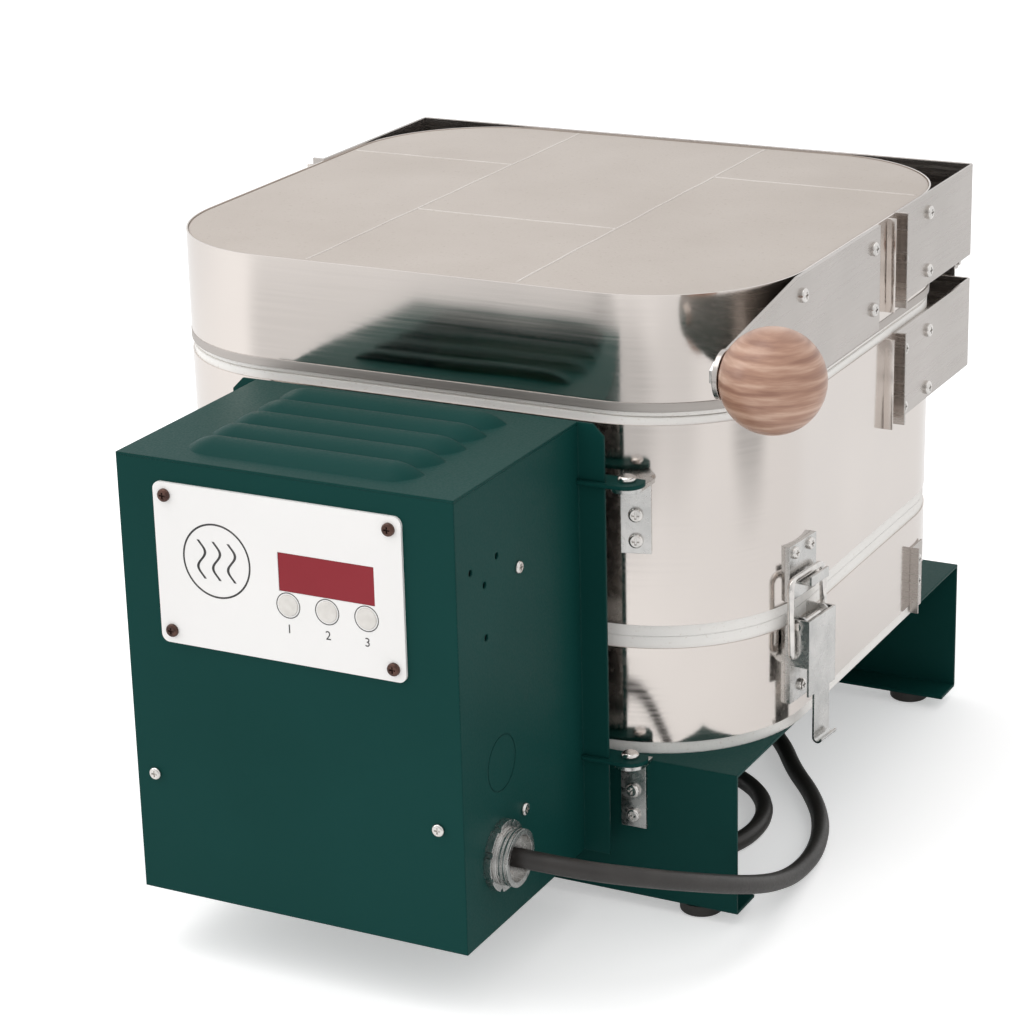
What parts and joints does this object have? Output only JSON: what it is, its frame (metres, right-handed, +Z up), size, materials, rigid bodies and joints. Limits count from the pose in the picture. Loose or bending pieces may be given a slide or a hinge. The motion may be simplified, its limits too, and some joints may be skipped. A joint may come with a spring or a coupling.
{
  "type": "glass kiln",
  "caption": "Tabletop electric glass kiln: square firebrick chamber in bright steel, rear-hinged lid with a wooden ball handle, side latches and a swing-out control box on a steel stand",
  "frame": {"origin": "on the floor under the middle of the kiln body", "axes": "+X to the right seen from the control box, +Y to the rear hinge, +Z up"},
  "size_m": [0.4122, 0.475, 0.319],
  "materials": {
    "firebrick": "soft insulating brick, coated face, matte",
    "polished_steel": "mirror-polished stainless sheet",
    "satin_steel": "satin stainless sheet",
    "green_paint": "dark green powder coat, fine texture",
    "zinc_plate": "zinc-plated steel",
    "bright_screw": "bright plated steel",
    "dark_screw": "dark bronze plated",
    "black_rubber": "matte black rubber",
    "element_wire": "oxidised resistance wire",
    "porcelain": "white porcelain",
    "brass_terminal": "plain brass",
    "turned_wood": "turned hardwood, satin varnish",
    "white_plate": "white printed metal plate",
    "button_grey": "pale plastic",
    "red_window": "dark red acrylic",
    "board_green": "circuit board laminate",
    "black_plastic": "moulded black plastic",
    "transformer_steel": "varnished laminations"
  },
  "bodies": {
    "root": {"stand_frame": "green_paint", "rubber_feet": "black_rubber", "floor_bricks": "firebrick", "floor_jacket": "polished_steel", "floor_seam_cleats": "satin_steel", "floor_seam_bolts": "bright_screw", "ring_bricks": "firebrick", "ring_jacket": "polished_steel", "heating_elements": "element_wire", "terminal_bushes": "porcelain", "element_terminals": "brass_terminal", "thermocouple": "element_wire", "thermocouple_block": "porcelain", "ring_yoke": "satin_steel", "ring_yoke_screws": "bright_screw", "hinge_leaf_lower": "satin_steel", "hinge_rod": "bright_screw", "box_brackets": "zinc_plate", "bracket_screws": "bright_screw", "box_hinge_pins": "bright_screw", "latch_bases": "zinc_plate", "latch_keepers": "zinc_plate", "latch_screws": "bright_screw", "latch_pins": "bright_screw", "power_cord": "black_rubber", "cord_coil": "black_rubber", "cord_plug": "black_rubber"},
    "lid": {"lid_bricks": "firebrick", "lid_band": "polished_steel", "lid_hem": "polished_steel", "lid_yoke": "satin_steel", "lid_yoke_screws": "bright_screw", "hinge_leaf_upper": "satin_steel", "handle_plate": "satin_steel", "handle_plate_screws": "bright_screw", "handle_ball": "turned_wood", "handle_bolt": "bright_screw"},
    "control_box": {"box_shell": "green_paint", "box_top_cover": "green_paint", "box_back_plate": "zinc_plate", "box_grommets": "black_rubber", "box_lugs": "green_paint", "box_screws": "bright_screw", "faceplate": "white_plate", "faceplate_screws": "dark_screw", "display_window": "red_window", "circuit_board": "board_green", "display_module": "black_plastic", "relay": "black_plastic", "transformer": "transformer_steel", "terminal_block": "black_plastic", "cord_connector": "zinc_plate", "connector_locknut": "zinc_plate"},
    "left_button": {"button_left": "button_grey"},
    "middle_button": {"button_middle": "button_grey"},
    "right_button": {"button_right": "button_grey"},
    "right_lever": {"latch_lever_right": "zinc_plate"},
    "right_bail": {"latch_bail_right": "bright_screw"},
    "left_lever": {"latch_lever_left": "zinc_plate"},
    "left_bail": {"latch_bail_left": "bright_screw"}
  },
  "joints": [
    {"name": "lid_hinge", "type": "hinge", "parent": "root", "child": "lid", "pos_m": [0, 0.166, 0.2605], "axis": [-1, 0, 0], "range_deg": [0, 95]},
    {"name": "box_hinge", "type": "hinge", "parent": "root", "child": "control_box", "pos_m": [0.1158, -0.1706, 0.156], "axis": [0, 0, 1], "range_deg": [0, 90], "deforming": ["power_cord"]},
    {"name": "press_left", "type": "slide", "parent": "control_box", "child": "left_button", "axis": [0, 1, 0], "range_m": [0, 0.0006], "stiffness_N_per_m": 800, "springref_m": -0.0006},
    {"name": "press_middle", "type": "slide", "parent": "control_box", "child": "middle_button", "axis": [0, 1, 0], "range_m": [0, 0.0006], "stiffness_N_per_m": 800, "springref_m": -0.0006},
    {"name": "press_right", "type": "slide", "parent": "control_box", "child": "right_button", "axis": [0, 1, 0], "range_m": [0, 0.0006], "stiffness_N_per_m": 800, "springref_m": -0.0006},
    {"name": "right_latch", "type": "hinge", "parent": "root", "child": "right_lever", "pos_m": [0.17903, -0.08999, 0.141], "axis": [-0.1045, -0.9945, 0], "range_deg": [0, 100]},
    {"name": "right_bail_turn", "type": "hinge", "parent": "right_lever", "child": "right_bail", "pos_m": [0.17704, -0.08978, 0.125], "axis": [-0.1045, -0.9945, 0], "range_deg": [-75, 0]},
    {"name": "left_latch", "type": "hinge", "parent": "root", "child": "left_lever", "pos_m": [-0.17903, -0.08999, 0.141], "axis": [-0.1045, 0.9945, 0], "range_deg": [0, 100]},
    {"name": "left_bail_turn", "type": "hinge", "parent": "left_lever", "child": "left_bail", "pos_m": [-0.17704, -0.08978, 0.125], "axis": [-0.1045, 0.9945, 0], "range_deg": [-75, 0]}
  ],
  "couplings": [
    {"joint": "right_bail_turn", "follows": "right_latch", "ratio": -0.75},
    {"joint": "left_bail_turn", "follows": "left_latch", "ratio": -0.75}
  ]
}
